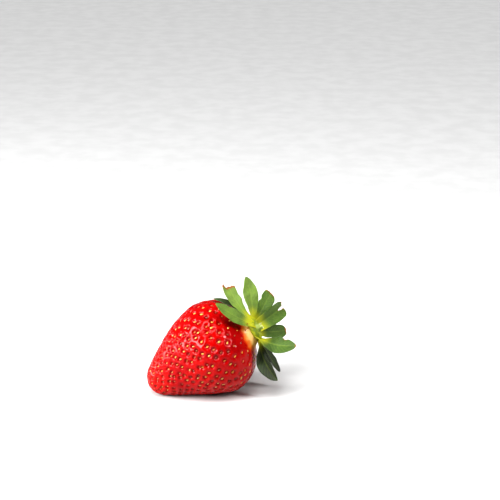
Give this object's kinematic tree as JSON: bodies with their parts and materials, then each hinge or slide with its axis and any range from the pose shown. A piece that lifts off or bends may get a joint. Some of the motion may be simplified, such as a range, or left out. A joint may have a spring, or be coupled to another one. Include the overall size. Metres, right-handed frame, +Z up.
{
  "type": "strawberry",
  "caption": "Ripe strawberry as picked, lying on its flank, with a leafy green calyx and a short torn stem.",
  "frame": {"origin": "middle of the small flat spot on the flank that the strawberry lies on", "axes": "+Z up from the surface it lies on; +X level along the fruit, from the tip towards the calyx"},
  "size_m": [0.0619, 0.0391, 0.0472],
  "materials": {
    "red_flesh": "glossy red skin with sunken seeds, paling to white at the neck",
    "hub_green": "yellow-green, satin",
    "stem_green": "pale green torn fibre, matt",
    "leaf_green": "matt green leaf with fine down and veins",
    "seed_gold": "smooth golden seed",
    "dry_thread": "dry brown-orange thread"
  },
  "bodies": {
    "root": {"fruit_body": "red_flesh", "calyx_hub": "hub_green", "stem_stub": "stem_green", "sepal_over_shoulder": "leaf_green", "bract_over_crown": "leaf_green", "sepal_torn": "leaf_green", "sepal_upright": "leaf_green", "sepal_blunt": "leaf_green", "bract_behind": "leaf_green", "sepal_folded": "leaf_green", "bract_far": "leaf_green", "sepal_wide": "leaf_green", "bract_hanging": "leaf_green", "bract_low": "leaf_green"}
  },
  "joints": []
}
